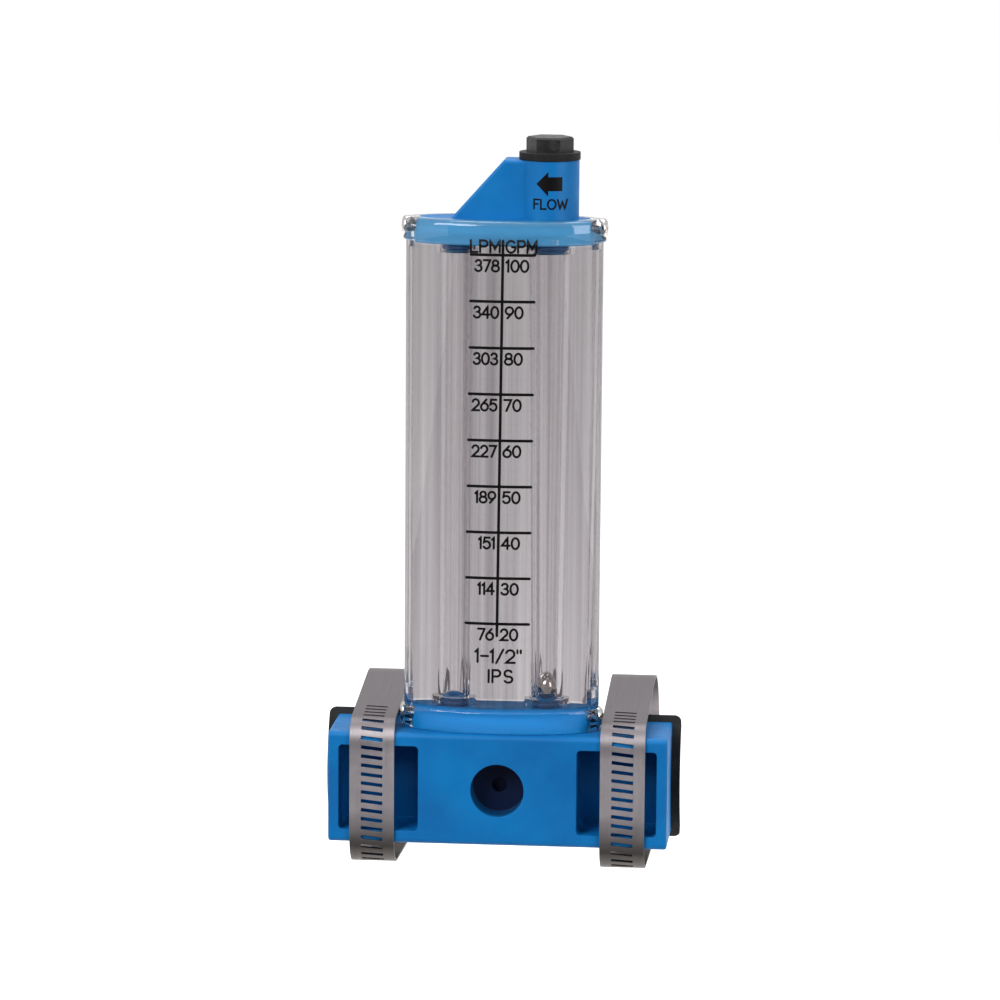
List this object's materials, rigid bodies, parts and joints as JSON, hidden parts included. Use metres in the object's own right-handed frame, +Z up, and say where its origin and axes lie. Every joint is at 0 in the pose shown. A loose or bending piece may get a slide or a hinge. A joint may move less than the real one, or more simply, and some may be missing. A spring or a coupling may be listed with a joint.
{
  "type": "side-mounted pool flow meter",
  "caption": "Clear upright flow meter with a steel ball in a tapered bore, on a blue saddle block held to a pipe by worm-drive hose clamps, with a clean-out plug on its cap.",
  "frame": {"origin": "on the pipe's axis, where the probe's two ports face along it, midway between the clamps", "axes": "+X along the pipe against the flow, -Y towards the scale's front, +Z up along the meter body"},
  "size_m": [0.1014, 0.0803, 0.2097],
  "materials": {
    "blue_plastic": "bright blue moulded plastic, satin gloss",
    "saddle_rubber": "black moulded rubber, dull",
    "probe_plastic": "black turned plastic",
    "clear_acrylic": "clear acrylic, polished",
    "ball_steel": "polished stainless steel",
    "seal_rubber": "blue silicone rubber, smooth",
    "plug_plastic": "black moulded plastic",
    "screw_steel": "bright stainless steel",
    "band_steel": "rolled stainless steel, brushed along the band",
    "worm_steel": "turned stainless steel"
  },
  "bodies": {
    "frame": {"base_block": "blue_plastic", "top_cap": "blue_plastic", "saddle_gasket": "saddle_rubber", "pitot_probe": "probe_plastic", "meter_body": "clear_acrylic", "lower_seal_left": "seal_rubber", "lower_seal_right": "seal_rubber", "upper_seal_left": "seal_rubber", "upper_seal_right": "seal_rubber", "body_screw_lower_left": "screw_steel", "body_screw_lower_right": "screw_steel", "body_screw_upper_left": "screw_steel", "body_screw_upper_right": "screw_steel", "clamp_band_left": "band_steel", "clamp_band_right": "band_steel", "clamp_housing_left": "band_steel", "clamp_housing_right": "band_steel"},
    "float": {"float_ball": "ball_steel"},
    "seal_lift": {"plug_seal": "seal_rubber"},
    "plug": {"cap_plug": "plug_plastic"},
    "worm_left": {"clamp_screw_left": "worm_steel"},
    "worm_right": {"clamp_screw_right": "worm_steel"}
  },
  "joints": [
    {"name": "ball_rise", "type": "slide", "parent": "frame", "child": "float", "axis": [0, 0, 1], "range_m": [0, 0.1255]},
    {"name": "plug_turn", "type": "hinge", "parent": "seal_lift", "child": "plug", "pos_m": [0.0125, -0.0335, 0.1785], "axis": [0, 0, 1], "range_deg": [0, 1440]},
    {"name": "plug_lift", "type": "slide", "parent": "frame", "child": "seal_lift", "axis": [0, 0, 1], "range_m": [0, 0.006]},
    {"name": "worm_turn_left", "type": "hinge", "parent": "frame", "child": "worm_left", "pos_m": [-0.0356, 0.02918, 0], "axis": [0, 0, -1], "continuous": true},
    {"name": "worm_turn_right", "type": "hinge", "parent": "frame", "child": "worm_right", "pos_m": [0.0356, 0.02918, 0], "axis": [0, 0, -1], "continuous": true}
  ],
  "couplings": [
    {"joint": "plug_turn", "follows": "plug_lift", "rad_per_m": 4188.8}
  ]
}
